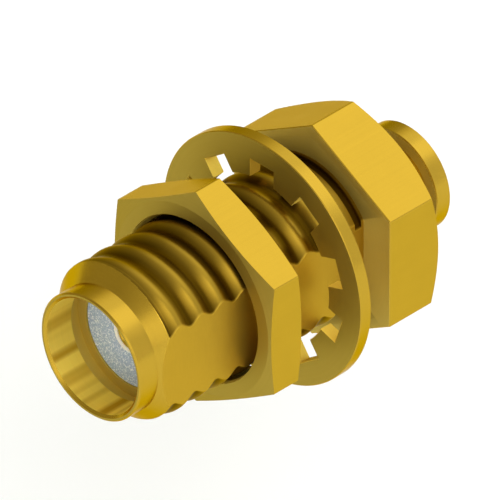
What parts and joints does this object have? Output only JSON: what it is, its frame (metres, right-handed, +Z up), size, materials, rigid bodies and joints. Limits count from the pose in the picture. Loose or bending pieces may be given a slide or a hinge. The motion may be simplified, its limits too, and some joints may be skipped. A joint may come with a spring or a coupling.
{
  "type": "coaxial connector",
  "caption": "Gold-plated panel-mount threaded coaxial jack with a flatted barrel, slotted centre socket, hex nut and internal-tooth lock washer.",
  "frame": {"origin": "centre of the hexagon's front face, which seats on the panel", "axes": "+X along the jack towards its mating end, +Y towards the flat on the thread, +Z up; the hexagon's flats face +Y and -Y"},
  "size_m": [0.0163, 0.0102, 0.0102],
  "materials": {
    "gold_plated_body": "satin gold plate",
    "gold_plated_hardware": "satin gold plate",
    "gold_plated_contact": "gold plate",
    "white_fluoropolymer": "matt, finely flecked"
  },
  "bodies": {
    "jack": {"body": "gold_plated_body", "front_insulator": "white_fluoropolymer", "rear_insulator": "white_fluoropolymer", "centre_contact": "gold_plated_contact"},
    "nut": {"hex_nut": "gold_plated_hardware"},
    "washer": {"lock_washer": "gold_plated_hardware"}
  },
  "joints": [
    {"name": "nut_travel", "type": "slide", "parent": "jack", "child": "nut", "axis": [1, 0, 0], "range_m": [-0.00395, 0.0185]},
    {"name": "washer_travel", "type": "slide", "parent": "jack", "child": "washer", "axis": [1, 0, 0], "range_m": [-0.00202, 0.00945]}
  ],
  "couplings": [
    {"joint": "washer_travel", "follows": "nut_travel", "ratio": 0.5088}
  ]
}
